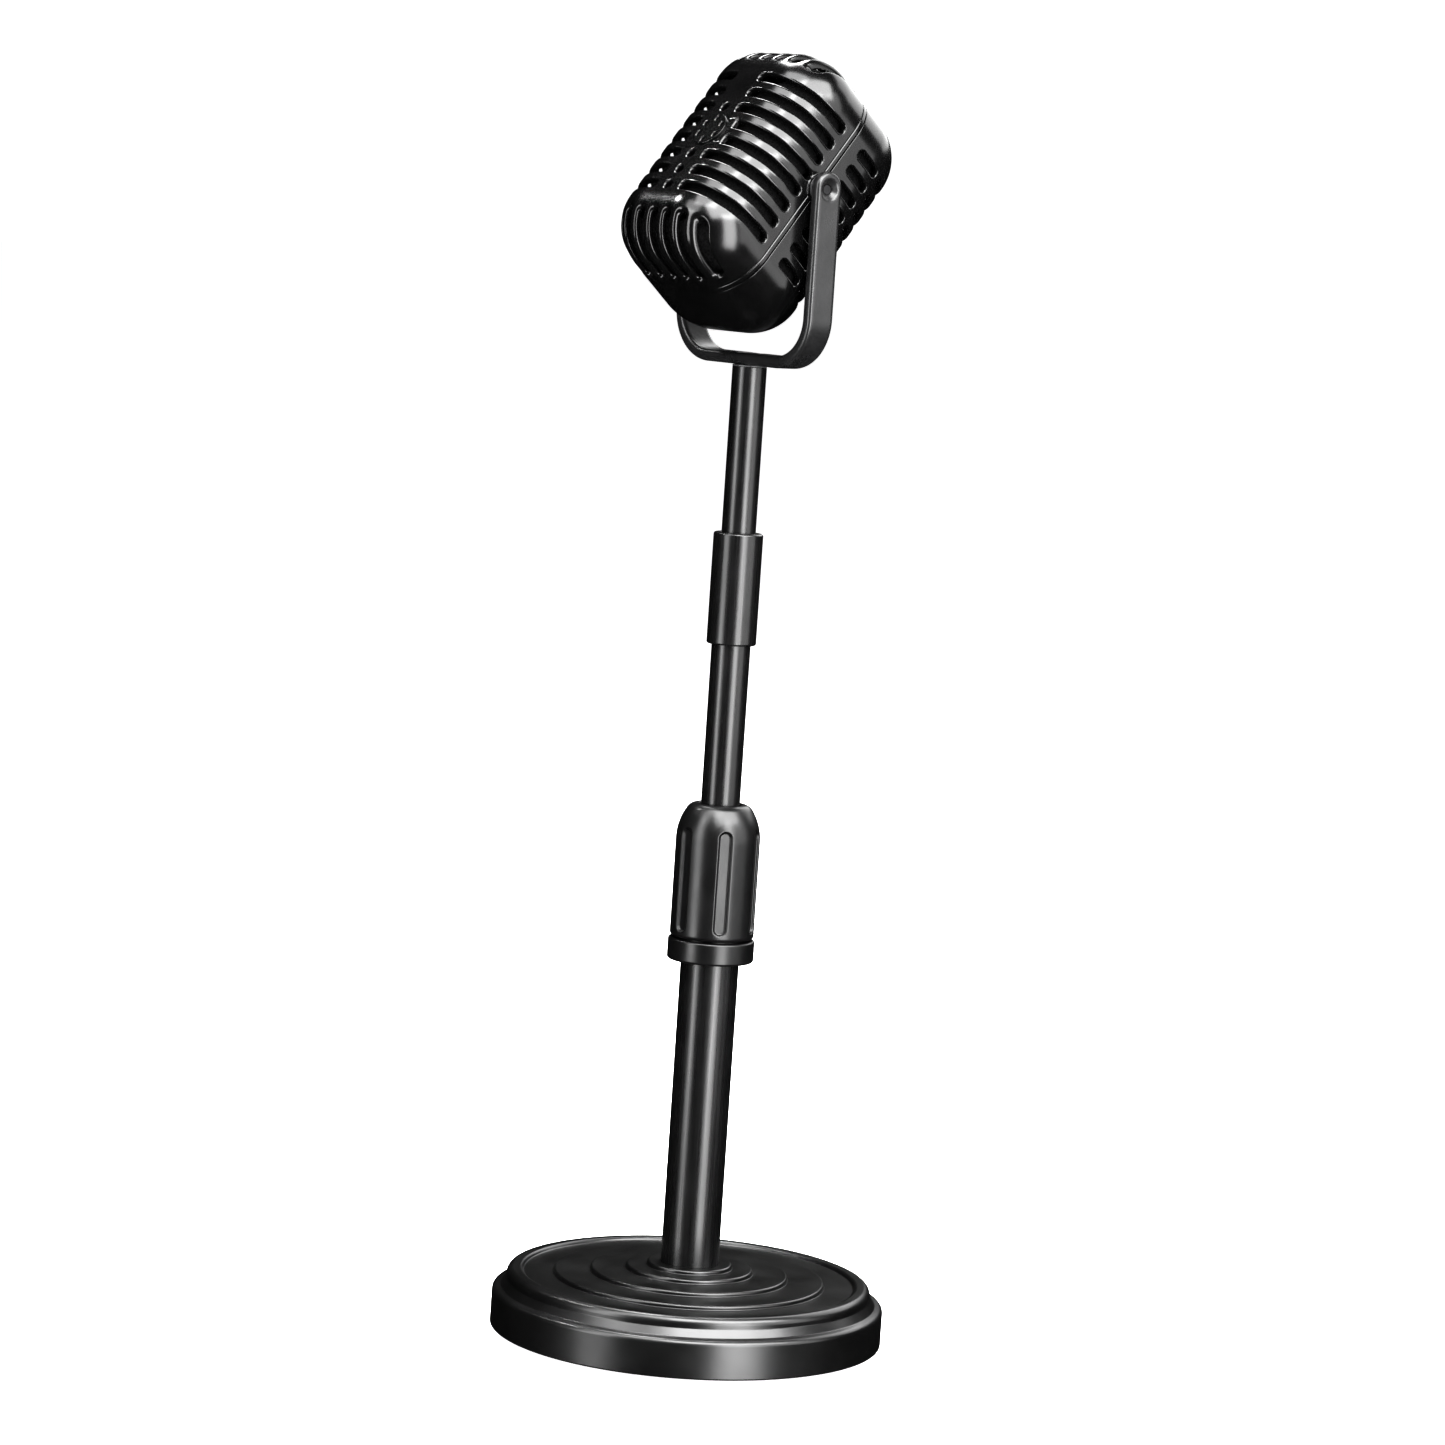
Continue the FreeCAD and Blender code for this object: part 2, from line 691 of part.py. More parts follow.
def rounded_block(name, shrink):
    """The head's outer form, made smaller by shrink on every side."""
    body = new_body(name)
    half_tall = d.head_tall / 2 - shrink
    plan = sketch_on(body, "XY_Plane", -half_tall - d.head_drop)
    rounded_rectangle(plan, d.head_width / 2 - shrink, d.head_deep / 2 - shrink,
                      d.head_corner - shrink)
    block = pad(body, plan, half_tall * 2)

    def end_edge(edge):
        return edge.BoundBox.ZLength < 0.1

    round_edges(body, block, d.head_end - shrink, end_edge)
    return body


def slot_rows(name, plane_start, side_run, face_run):
    """One side's rows of slots: a run on the side joined to a run on the front or rear."""
    body = new_body(name)
    side = sketch_on(body, "YZ_Plane", plane_start)
    side_run(side)
    on_side = pad(body, side, d.head_width / 2 + d.beyond - plane_start)
    face, depth, reverse = face_run(body)
    on_face = pad(body, face, depth, reverse=reverse)
    repeat(body, [on_side, on_face], side, "V_Axis",
           d.row_pitch * (d.row_count - 1), d.row_count)
    return body


def front_slot_rows():
    far_out, far_front = d.head_width / 2 + d.beyond, d.head_deep / 2 + d.beyond
    half, low = d.slot_wide / 2, row_height(0)

    def side_run(sketch):
        half_slot_across(sketch, -d.slot_from_seam, -far_front, low, half)

    def face_run(body):
        start = d.head_deep / 2 - d.head_wall * 3
        sketch = sketch_on(body, "XZ_Plane", start)
        half_slot_across(sketch, d.slot_start, far_out, low, half)
        return sketch, far_front - start, False

    return slot_rows("front_slot_rows", d.slot_start * 2, side_run, face_run)


def rear_slot_rows():
    far_out, far_back = d.head_width / 2 + d.beyond, d.head_deep / 2 + d.beyond
    half, low = d.slot_wide / 2, row_height(0)

    def side_run(sketch):
        start, end = d.slot_from_seam + half, d.rear_slot_end - half
        outline(sketch, (start, low - half), [
            (end, low - half),
            (end, low + half, end, low, 1),
            (start, low + half),
            (start, low - half, start, low, 1),
        ])

    def face_run(body):
        sketch = sketch_on(body, "XZ_Plane", -d.rear_slot_again)
        half_slot_across(sketch, d.slot_start, far_out, low, half)
        return sketch, far_back - d.rear_slot_again, True

    return slot_rows("rear_slot_rows", d.slot_start * 2, side_run, face_run)


def centre_holes():
    """The column of small round holes up the middle, on all but the two highest rows."""
    body = new_body("centre_holes")
    face = sketch_on(body, "XZ_Plane", d.head_deep / 2 - d.head_wall * 3)
    circles(face, [(0, row_height(0))], d.hole_radius)
    hole = pad(body, face, d.head_wall * 3 + d.beyond)
    repeat(body, [hole], face, "V_Axis", d.row_pitch * (d.hole_count - 1), d.hole_count)
    return body


def end_slot_row():
    """The row of slots that wraps over the top end of the front shell."""
    body = new_body("end_slots_top")
    half = d.slot_wide / 2
    first = -(d.end_pitch * (d.end_count - 1) / 2)
    far_up = d.head_tall / 2 - d.head_drop + d.beyond
    slot_low = d.end_slot_from - d.head_drop
    front_start = d.head_deep / 2 - d.head_wall * 5
    face = sketch_on(body, "XZ_Plane", front_start)
    half_slot_up(face, first, slot_low, far_up, half)
    on_front = pad(body, face, d.head_wall * 5 + d.beyond)
    cap_start = slot_low + d.slot_wide
    cap = sketch_on(body, "XY_Plane", cap_start)
    half_slot_up(cap, first, -d.end_slot_seam, -(d.head_deep / 2 + d.beyond), half)
    on_cap = pad(body, cap, far_up - cap_start)
    repeat(body, [on_front, on_cap], face, "H_Axis",
           d.end_pitch * (d.end_count - 1), d.end_count)
    return body


def post_places():
    """The four screw places, as (across, up) from the pivot."""
    return [(d.head_post_across * across, d.head_post_up * up - d.head_drop)
            for across in (-1, 1) for up in (-1, 1)]


def across_head(name, radius, from_y, to_y):
    """Four cylinders along Y at the screw places, from one depth back to another."""
    return [cylinder(f"{name}_{number}", radius, as_size(to_y) - from_y,
                     (across, from_y, up), (0, 1, 0))
            for number, (across, up) in enumerate(post_places())]


def both_sides(name, radius, from_x, to_x):
    """Two cylinders along X on the pivot axis, one on each side of the head."""
    length = as_size(to_x) - from_x
    right = cylinder(f"{name}_right", radius, length, (from_x, 0, 0), (1, 0, 0))
    left = cylinder(f"{name}_left", radius, length, (-as_size(from_x), 0, 0), (-1, 0, 0))
    return [right, left]


def make_head_shells():
    outer = rounded_block("head_outer", 0)
    inner = rounded_block("head_inner", d.head_wall)
    hollow = cut("head_hollow", outer, inner)
    wide, deep, tall = d.head_width * 2, d.head_deep, d.head_tall * 2
    front_half = box("front_half", (-wide / 2, -deep, -tall / 2), (wide, deep, tall))
    rear_half = box("rear_half", (-wide / 2, 0, -tall / 2), (wide, deep, tall))
    boss_out = d.head_width / 2 + d.boss_stands
    bosses = both_sides("pivot_boss", d.boss_radius, d.boss_inner, boss_out)
    bores = both_sides("pivot_bore", d.pin_radius, d.boss_inner - 1, boss_out + 1)
    wall_in = d.head_deep / 2 - d.head_wall

    front_posts = across_head("front_post", d.front_post, -wall_in - 0.5, 0)
    front_whole = common("front_whole", joined("front_joined", [hollow, *front_posts, *bosses]),
                         front_half)
    rows = front_slot_rows()
    holes = centre_holes()
    ends = end_slot_row()
    centre = -d.head_drop
    front_tool = joined("front_tool", [
        rows, mirrored("front_slot_rows_left", rows, (1, 0, 0)), holes,
        ends, mirrored("end_slots_bottom", ends, (0, 0, 1), centre), *bores,
        *across_head("front_screw_bore", d.head_screw, -d.screw_seat, 0.5)])
    slotted = cut("front_slotted", front_whole, front_tool)
    seat_box = box("badge_seat_box", (d.badge_across - d.seat_half_wide, -deep,
                                      centre - d.seat_half_tall),
                   (d.seat_half_wide * 2, deep / 2 + wall_in, d.seat_half_tall * 2))
    seat = common("badge_seat", hollow, seat_box)
    front = joined("front_shell_joined", [slotted, seat])
    sub_part(in_head(front), "head_front_shell")

    rear_posts = across_head("rear_post", d.rear_post, 0, wall_in + 0.5)
    rear_whole = common("rear_whole", joined("rear_joined", [hollow, *rear_posts, *bosses]),
                        rear_half)
    rear_rows = rear_slot_rows()
    rear_tool = joined("rear_tool", [
        rear_rows, mirrored("rear_slot_rows_left", rear_rows, (1, 0, 0)),
        mirrored("rear_centre_holes", holes, (0, 1, 0)), *bores,
        *across_head("rear_screw_way", d.head_screw + 0.3, -1, d.screw_seat + 1),
        *across_head("rear_counterbore", d.counterbore, d.screw_seat, deep)])
    rear = cut("rear_shell_cut", rear_whole, rear_tool)
    sub_part(in_head(rear), "head_rear_shell")


def make_head_fittings():
    badge = new_body("badge_plate")
    face = sketch_on(badge, "XZ_Plane", d.head_deep / 2)
    circles(face, [(d.badge_across, -d.head_drop)], d.badge_radius)
    plate = pad(badge, face, d.badge_thick)
    front = -DIMENSIONS["head_deep"] / 2 - DIMENSIONS["badge_thick"]

    def outer_edge(edge):
        return edge.BoundBox.YMax < front + 0.01

    round_edges(badge, plate, d.badge_thick / 2, outer_edge)
    face = sketch_on(badge, "XZ_Plane", d.head_deep / 2)
    ring = [(x + d.badge_across, z - d.head_drop) for x, z in around(d.badge_ring, 6, 30.0)]
    circles(face, ring, d.badge_hole)
    pocket(badge, face)
    sub_part(in_head(badge), "badge_plate")

    block = box("foam_block", (-d.foam_half_wide, -d.foam_half_deep,
                               -d.foam_half_tall - d.head_drop),
                (d.foam_half_wide * 2, d.foam_half_deep * 2, d.foam_half_tall * 2))
    ways = across_head("foam_way", d.rear_post + d.foam_post_gap, -d.head_deep, d.head_deep)
    foam = cut("foam_cut", block, joined("foam_ways", ways))
    sub_part(in_head(foam), "foam_insert")

    pin_out = d.yoke_span / 2 - d.pin_inset
    pins = []
    shafts = both_sides("pin_shaft", d.pin_radius, d.boss_inner - d.pin_flange_thick, pin_out)
    flanges = both_sides("pin_flange", d.pin_flange,
                         d.boss_inner - d.pin_flange_thick, d.boss_inner)
    for name, shaft, flange in zip(("right", "left"), shafts, flanges):
        pins.append(joined(f"pivot_pin_{name}", [shaft, flange]))
    sub_part(in_head(group("pivot_pins_group", pins)), "pivot_pins")

    boss_out = d.head_width / 2 + d.boss_stands
    washer_out = d.yoke_span / 2 - d.yoke_thick - d.washer_gap
    rims = both_sides("washer_rim", d.boss_radius, boss_out, washer_out)
    eyes = both_sides("washer_eye", d.pin_radius, boss_out - 1, washer_out + 1)
    washers = [cut(f"pivot_washer_{name}", rim, eye)
               for name, rim, eye in zip(("right", "left"), rims, eyes)]
    sub_part(in_head(group("pivot_washers_group", washers)), "pivot_washers")

    shanks = across_head("shell_screw_shank", d.head_screw, -d.screw_seat + 1, d.screw_seat)
    heads = across_head("shell_screw_head", d.head_screw_head, d.screw_seat, d.screw_seat + 1.8)
    screws = [joined(f"shell_screw_{number}", list(pair))
              for number, pair in enumerate(zip(shanks, heads))]
    sub_part(in_head(group("shell_screws_group", screws)), "shell_screws")


make_base_shell()
make_base_inside()
make_stem_fastening()
make_tubes()
make_clutch()
make_clutch_nut()
make_collar()
make_yoke_fastening()
make_yoke()
make_head_shells()
make_head_fittings()
doc.recompute()

for item in doc.Objects:
    if "Invalid" in item.State or "Error" in item.State:
        raise RuntimeError(f"{item.Name} ({item.Label}) failed: {item.State}")
os.makedirs("parts", exist_ok=True)
for item in SUB_PARTS:
    shape = item.Shape
    if shape.isNull() or not shape.isValid() or not shape.Solids:
        raise RuntimeError(f"{item.Label} has no valid solid")
    shape.exportStep(f"parts/{item.Label}.step")
    print(f"{item.Label}: {len(shape.Solids)} solid(s), {shape.Volume / 1000:.2f} cm3")
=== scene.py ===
"""Looks of the toy microphone: a glossy slotted head in a U-shaped yoke, on a satin black
telescopic stem with a twist clutch and a round base.

The meshes are worked out in millimetres and put on the model in metres. Turned pieces are
turned from an outline. Moulded pieces are the zero level of a signed distance, which gives
every slot and edge a soft moulded lip.
"""
import json
import math

import bpy
import numpy as np
from mathutils import Matrix, Vector


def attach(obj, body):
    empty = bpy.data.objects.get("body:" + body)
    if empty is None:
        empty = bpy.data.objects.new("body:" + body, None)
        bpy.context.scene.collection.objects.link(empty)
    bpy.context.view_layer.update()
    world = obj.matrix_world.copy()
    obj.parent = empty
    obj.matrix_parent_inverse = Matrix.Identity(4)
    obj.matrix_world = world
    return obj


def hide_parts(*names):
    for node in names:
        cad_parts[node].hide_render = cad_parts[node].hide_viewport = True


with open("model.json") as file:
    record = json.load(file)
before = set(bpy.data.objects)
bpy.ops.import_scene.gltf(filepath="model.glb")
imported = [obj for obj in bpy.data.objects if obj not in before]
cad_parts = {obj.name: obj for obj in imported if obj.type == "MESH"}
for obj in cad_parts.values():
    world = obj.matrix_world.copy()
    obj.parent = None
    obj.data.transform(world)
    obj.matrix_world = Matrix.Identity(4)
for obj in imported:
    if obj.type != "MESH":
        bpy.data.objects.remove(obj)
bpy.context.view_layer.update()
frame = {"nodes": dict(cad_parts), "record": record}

MM = 0.001
PIVOT = 351.0
TILT = math.radians(40)

# ---------------------------------------------------------------- camera and light

CAMERA_AZIMUTH = math.radians(49)
CAMERA_AWAY = 1.45
CAMERA_HEIGHT = 0.3525
CAMERA_ROLL = math.radians(3.84)
CAMERA_LENS = 120.1
AIM_HEIGHT = 0.189
AIM_LEFT = 0.001
SENSOR_WIDTH = 36
SHADOW_GAMMA = 0.72     # below 1 it darkens the shadows more than the highlights
FLOOR_HALF = 12.0


def place_camera():
    """The camera looks down a little at the right front, and leans to one side."""
    across = Vector((math.cos(CAMERA_AZIMUTH), math.sin(CAMERA_AZIMUTH), 0))
    out = Vector((math.sin(CAMERA_AZIMUTH), -math.cos(CAMERA_AZIMUTH), 0))
    place = out * CAMERA_AWAY + Vector((0, 0, CAMERA_HEIGHT))
    aim = Vector((0, 0, AIM_HEIGHT)) - across * AIM_LEFT
    ahead = (aim - place).normalized()
    level = ahead.cross(Vector((0, 0, 1))).normalized()
    upright = level.cross(ahead)
    right = level * math.cos(CAMERA_ROLL) + upright * math.sin(CAMERA_ROLL)
    up = upright * math.cos(CAMERA_ROLL) - level * math.sin(CAMERA_ROLL)
    data = bpy.data.cameras.new("Camera")
    data.lens = CAMERA_LENS
    data.sensor_width = SENSOR_WIDTH
    data.clip_end = 50
    camera = bpy.data.objects.new("Camera", data)
    turned = Matrix((right, up, -ahead)).transposed().to_4x4()
    camera.matrix_world = Matrix.Translation(place) @ turned
    bpy.context.scene.collection.objects.link(camera)
    bpy.context.scene.camera = camera


def soft_box(name, azimuth, elevation, away, width, height, glow, aim=0.2):
    """A rectangular light that faces the stem at the height aim.

    Its azimuth is measured from the camera's, to the right, and its glow is its radiance.
    """
    turn = CAMERA_AZIMUTH + math.radians(azimuth)
    rise = math.radians(elevation)
    out = Vector((math.sin(turn) * math.cos(rise), -math.cos(turn) * math.cos(rise),
                  math.sin(rise)))
    data = bpy.data.lights.new(name, "AREA")
    data.shape = "RECTANGLE"
    data.size = width
    data.size_y = height
    data.energy = glow * math.pi * width * height
    light = bpy.data.objects.new(name, data)
    light.location = Vector((0, 0, aim)) + out * away
    light.rotation_euler = out.to_track_quat("Z", "Y").to_euler()
    bpy.context.scene.collection.objects.link(light)


def light_studio():
    """Tall banks either side of the camera, higher ones above them, and lights from behind.

    Glint_left is small and strong: it puts the bright dots on the ribs at the head's left.
    """
    soft_box("Key_right", 31, 0, 1.3, 0.6, 1.7, 15, 0.4)
    soft_box("Key_right_wide", 68, 0, 1.3, 0.8, 1.3, 4.4, 0.6)
    soft_box("Key_high", 30, 50, 1.3, 1.6, 0.8, 17)
    soft_box("Key_top", -25, 66, 1.3, 0.8, 0.6, 12)
    soft_box("Fill_left", -53, 0, 1.3, 0.45, 1.5, 11, 0.45)
    soft_box("Fill_left_high", -53, 45, 1.3, 0.6, 0.5, 8)
    soft_box("Overhead", 190, 66, 1.2, 0.5, 0.5, 26)
    soft_box("Edge_back_right", 142, 32, 1.3, 1.4, 0.8, 4.2)
    soft_box("Glint_left", -105, 38, 1.0, 0.11, 0.11, 120, 0.36)
    world = bpy.data.worlds.new("Studio")
    world.use_nodes = True
    nodes, links = world.node_tree.nodes, world.node_tree.links
    nodes.clear()
    seen = nodes.new("ShaderNodeLightPath")
    dim = nodes.new("ShaderNodeBackground")
    dim.inputs["Color"].default_value = (0.003, 0.003, 0.003, 1)
    white = nodes.new("ShaderNodeBackground")
    white.inputs["Color"].default_value = (1, 1, 1, 1)
    white.inputs["Strength"].default_value = 1.1
    mix = nodes.new("ShaderNodeMixShader")
    out = nodes.new("ShaderNodeOutputWorld")
    links.new(seen.outputs["Is Camera Ray"], mix.inputs["Fac"])
    links.new(dim.outputs[0], mix.inputs[1])
    links.new(white.outputs[0], mix.inputs[2])
    links.new(mix.outputs[0], out.inputs["Surface"])
    bpy.context.scene.world = world
    view = bpy.context.scene.view_settings
    view.view_transform = "Standard"
    view.gamma = SHADOW_GAMMA


def lay_floor():
    data = bpy.data.meshes.new("Floor")
    corners = [(x * FLOOR_HALF, y * FLOOR_HALF, 0)
               for x, y in ((-1, -1), (1, -1), (1, 1), (-1, 1))]
    data.from_pydata(corners, [], [(0, 1, 2, 3)])
    floor = bpy.data.objects.new("Floor", data)
    floor.data.materials.append(floor_material())
    floor.visible_glossy = False
    floor.visible_shadow = False
    bpy.context.scene.collection.objects.link(floor)


# ---------------------------------------------------------------- materials


def new_material(name, colour, roughness, **sockets):
    """A Principled material, and the tools to add its patterns."""
    material = bpy.data.materials.new(name)
    material.use_nodes = True
    shader = material.node_tree.nodes["Principled BSDF"]
    shader.inputs["Base Color"].default_value = (*colour, 1)
    shader.inputs["Roughness"].default_value = roughness
    for socket, value in sockets.items():
        shader.inputs[socket.replace("_", " ")].default_value = value
    return material, shader


def own_coordinates(material, stretch=(1, 1, 1)):
    nodes, links = material.node_tree.nodes, material.node_tree.links
    place = nodes.new("ShaderNodeTexCoord")
    scale = nodes.new("ShaderNodeMapping")
    scale.inputs["Scale"].default_value = stretch
    links.new(place.outputs["Object"], scale.inputs["Vector"])
    return scale.outputs["Vector"]


def noise(material, vector, scale, detail=2.0, rough=0.5):
    node = material.node_tree.nodes.new("ShaderNodeTexNoise")
    node.inputs["Scale"].default_value = scale
    node.inputs["Detail"].default_value = detail
    node.inputs["Roughness"].default_value = rough
    material.node_tree.links.new(vector, node.inputs["Vector"])
    return node.outputs["Fac"]


def ranged(material, value, low, high, start=0.3, end=0.7):
    node = material.node_tree.nodes.new("ShaderNodeMapRange")
    node.inputs["From Min"].default_value = start
    node.inputs["From Max"].default_value = end
    node.inputs["To Min"].default_value = low
    node.inputs["To Max"].default_value = high
    material.node_tree.links.new(value, node.inputs["Value"])
    return node.outputs["Result"]


def vary_colour(material, shader, value, dark, light, start=0.3, end=0.7):
    nodes, links = material.node_tree.nodes, material.node_tree.links
    ramp = nodes.new("ShaderNodeValToRGB")
    ramp.color_ramp.elements[0].position = start
    ramp.color_ramp.elements[0].color = (*dark, 1)
    ramp.color_ramp.elements[1].position = end
    ramp.color_ramp.elements[1].color = (*light, 1)
    links.new(value, ramp.inputs["Fac"])
    links.new(ramp.outputs["Color"], shader.inputs["Base Color"])


def vary_roughness(material, shader, value, low, high, start=0.3, end=0.7):
    spread = ranged(material, value, low, high, start, end)
    material.node_tree.links.new(spread, shader.inputs["Roughness"])


def add_bump(material, shader, value, strength, distance):
    """A bump of the given depth in metres."""
    nodes, links = material.node_tree.nodes, material.node_tree.links
    bump = nodes.new("ShaderNodeBump")
    bump.inputs["Strength"].default_value = strength
    bump.inputs["Distance"].default_value = distance
    links.new(value, bump.inputs["Height"])
    links.new(bump.outputs["Normal"], shader.inputs["Normal"])


def floor_material():
    material, shader = new_material("studio_floor", (0.9, 0.9, 0.9), 0.9)
    place = own_coordinates(material)
    vary_roughness(material, shader, noise(material, place, 40), 0.85, 0.95)
    shader.inputs["Emission Color"].default_value = (1, 1, 1, 1)
    shader.inputs["Emission Strength"].default_value = 1.0
    return material


def grey(level):
    return (level, level, level * 1.03)


def moulded_black(name, colour, low, high, grain, depth, index=1.5):
    """Black plastic: faint cloudy gloss, a fine grain, and scuffs a little paler."""
    material, shader = new_material(name, grey(colour), (low + high) / 2)
    shader.inputs["IOR"].default_value = index
    place = own_coordinates(material)
    cloud = noise(material, place, 70, 3)
    vary_roughness(material, shader, cloud, low, high)
    vary_colour(material, shader, noise(material, place, 160, 4),
                grey(colour * 0.8), grey(colour * 1.25))
    add_bump(material, shader, noise(material, place, grain, 2), 0.35, depth)
    return material


def black_lacquer(name):
    """Satin lacquer on drawn tube: faint lines along the tube and a light orange peel."""
    material, shader = new_material(name, grey(0.003), 0.3)
    shader.inputs["IOR"].default_value = 1.55
    along = own_coordinates(material, (1, 1, 0.02))
    lines = noise(material, along, 1400, 2)
    vary_roughness(material, shader, lines, 0.24, 0.34)
    place = own_coordinates(material)
    vary_colour(material, shader, noise(material, place, 120, 3), grey(0.002), grey(0.004))
    add_bump(material, shader, noise(material, place, 900, 2), 0.25, 0.00003)
    return material


def bright_metal(name, level, low, high, stretch=(1, 1, 1)):
    """Plated or raw steel with fine working marks."""
    material, shader = new_material(name, grey(level), (low + high) / 2, Metallic=1.0)
    place = own_coordinates(material, stretch)
    marks = noise(material, place, 900, 4, 0.6)
    vary_roughness(material, shader, marks, low, high)
    vary_colour(material, shader, noise(material, place, 250, 3),
                grey(level * 0.8), grey(level * 1.15))
    add_bump(material, shader, marks, 0.2, 0.00004)
    return material


def soft_rubber(name):
    material, shader = new_material(name, grey(0.02), 0.75)
    place = own_coordinates(material)
    vary_roughness(material, shader, noise(material, place, 300, 3), 0.65, 0.9)
    vary_colour(material, shader, noise(material, place, 200, 3), grey(0.015), grey(0.03))
    add_bump(material, shader, noise(material, place, 1500, 2), 0.5, 0.00008)
    return material


def open_foam(name):
    """Black open-cell foam: pitted cells all over, with painted shade darkening each pit."""
    material, shader = new_material(name, grey(0.004), 0.95)
    shader.inputs["Specular IOR Level"].default_value = 0.1
    place = own_coordinates(material)
    cells = material.node_tree.nodes.new("ShaderNodeTexVoronoi")
    cells.inputs["Scale"].default_value = 1200
    material.node_tree.links.new(place, cells.inputs["Vector"])
    pit_depth_and_shade = cells.outputs["Distance"]
    # Painted shade: the colour is darker down in each pit, standing in for shade in the cell
    # hollows.
    vary_colour(material, shader, pit_depth_and_shade, grey(0.001), grey(0.006), 0.1, 0.6)
    vary_roughness(material, shader, pit_depth_and_shade, 0.9, 1.0)
    add_bump(material, shader, pit_depth_and_shade, 0.8, 0.0004)
    return material


def make_materials():
    return {
        "gloss_black": moulded_black("gloss_black", 0.002, 0.17, 0.24, 500, 0.00002),
        "yoke_black": moulded_black("yoke_black", 0.008, 0.24, 0.36, 500, 0.00003, index=1.55),
        "badge_black": moulded_black("badge_black", 0.002, 0.17, 0.24, 900, 0.00002),
        "clutch_plastic": moulded_black("clutch_plastic", 0.003, 0.28, 0.38, 900, 0.00004),
        "base_plastic": moulded_black("base_plastic", 0.002, 0.28, 0.35, 1100, 0.00002, index=1.6),
        "hidden_plastic": moulded_black("hidden_plastic", 0.03, 0.4, 0.55, 700, 0.00004),
        "black_tube": black_lacquer("black_tube"),
        "dark_screw": bright_metal("dark_screw", 0.05, 0.28, 0.42),
        "fastener_steel": bright_metal("fastener_steel", 0.6, 0.22, 0.38),
        "weight_steel": bright_metal("weight_steel", 0.25, 0.5, 0.7),
        "rubber_pads": soft_rubber("rubber_pads"),
        "foam": open_foam("foam"),
    }


# ---------------------------------------------------------------- mesh tools

FAR = 9.0       # stands for a distance well away from any surface


def finish_piece(name, mesh, body, node, material):
    """Put a mesh on the model: it stands for a CAD node and moves with its body."""
    mesh.materials.append(material)
    piece = bpy.data.objects.new(name, mesh)
    bpy.context.scene.collection.objects.link(piece)
    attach(piece, body)
    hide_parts(node)


def mesh_from(name, points, quads, normals):
    """A mesh in metres from points in millimetres and rows of four corner numbers."""
    mesh = bpy.data.meshes.new(name)
    mesh.vertices.add(len(points))
    mesh.vertices.foreach_set("co", (np.asarray(points) * MM).astype(np.float32).ravel())
    mesh.loops.add(quads.size)
    mesh.loops.foreach_set("vertex_index", quads.astype(np.int32).ravel())
    mesh.polygons.add(len(quads))
    mesh.polygons.foreach_set("loop_start", np.arange(0, quads.size, 4, dtype=np.int32))
    mesh.update(calc_edges=True)
    mesh.polygons.foreach_set("use_smooth", np.ones(len(quads), dtype=bool))
    mesh.normals_split_custom_set_from_vertices(normals)
    return mesh


ROUND_STEPS = 6


def rounded_outline(corners):
    """An outline with rounded corners, from (radius, height, round) rows, with normals.

    A row whose round is zero keeps a sharp corner.
    """
    points, normals = [], []
    count = len(corners)
    for number, (r, z, fillet) in enumerate(corners):
        here = np.array((r, z), float)
        before = np.array(corners[number - 1][:2], float)
        after = np.array(corners[(number + 1) % count][:2], float)
        into = (here - before) / np.linalg.norm(here - before)
        away = (after - here) / np.linalg.norm(after - here)
        turn = math.atan2(into[0] * away[1] - into[1] * away[0], into @ away)
        side_in = np.array((into[1], -into[0]))
        side_out = np.array((away[1], -away[0]))
        if fillet == 0 or abs(turn) < 1e-3:
            points += [here, here]
            normals += [side_in, side_out]
            continue
        back = fillet * math.tan(abs(turn) / 2)
        start = here - into * back
        centre = start - side_in * fillet * math.copysign(1, turn)
        for step in range(ROUND_STEPS + 1):
            angle = turn * step / ROUND_STEPS
            c, s = math.cos(angle), math.sin(angle)
            side = np.array((side_in[0] * c - side_in[1] * s, side_in[0] * s + side_in[1] * c))
            points.append(centre + side * fillet * math.copysign(1, turn))
            normals.append(side)
    return np.array(points), np.array(normals)


def lathe(name, corners, turns=240):
    """Turn a closed outline, listed counter-clockwise, about the stem's axis."""
    outline, sides = rounded_outline(corners)
    count = len(outline)
    angles = np.linspace(0, 2 * math.pi, turns, endpoint=False)
    c, s = np.cos(angles)[:, None], np.sin(angles)[:, None]
    points = np.stack([outline[:, 0] * c, outline[:, 0] * s,
                       np.broadcast_to(outline[:, 1], (turns, count))], -1).reshape(-1, 3)
    normals = np.stack([sides[:, 0] * c, sides[:, 0] * s,
                        np.broadcast_to(sides[:, 1], (turns, count))], -1).reshape(-1, 3)
    row, column = np.meshgrid(np.arange(turns), np.arange(count), indexing="ij")
    next_row, next_column = (row + 1) % turns, (column + 1) % count
    quads = np.stack([row * count + column, next_row * count + column,
                      next_row * count + next_column, row * count + next_column], -1)
    lengths = np.linalg.norm(outline - np.roll(outline, -1, 0), axis=1)
    quads = quads[:, lengths > 1e-6].reshape(-1, 4)
    return mesh_from(name, points, quads, normals)


def smooth_max(a, b, blend):
    near = np.maximum(blend - np.abs(a - b), 0)
    return np.maximum(a, b) + near * near / (4 * blend)


def smooth_min(a, b, blend):
    return -smooth_max(-a, -b, blend)


def out_of_box(*sides):
    """Distance from a box, from how far out a point is along each of its directions."""
    outside = sum(np.maximum(side, 0) ** 2 for side in sides) ** 0.5
    inside = sides[0]
    for side in sides[1:]:
        inside = np.maximum(inside, side)
    return outside + np.minimum(inside, 0)


def nearest_of(value, pitch, count):
    """Distance along a row to the nearest of evenly spaced places centred on zero."""
    half = (count - 1) / 2
    return value - pitch * (np.clip(np.round(value / pitch + half), 0, count - 1) - half)


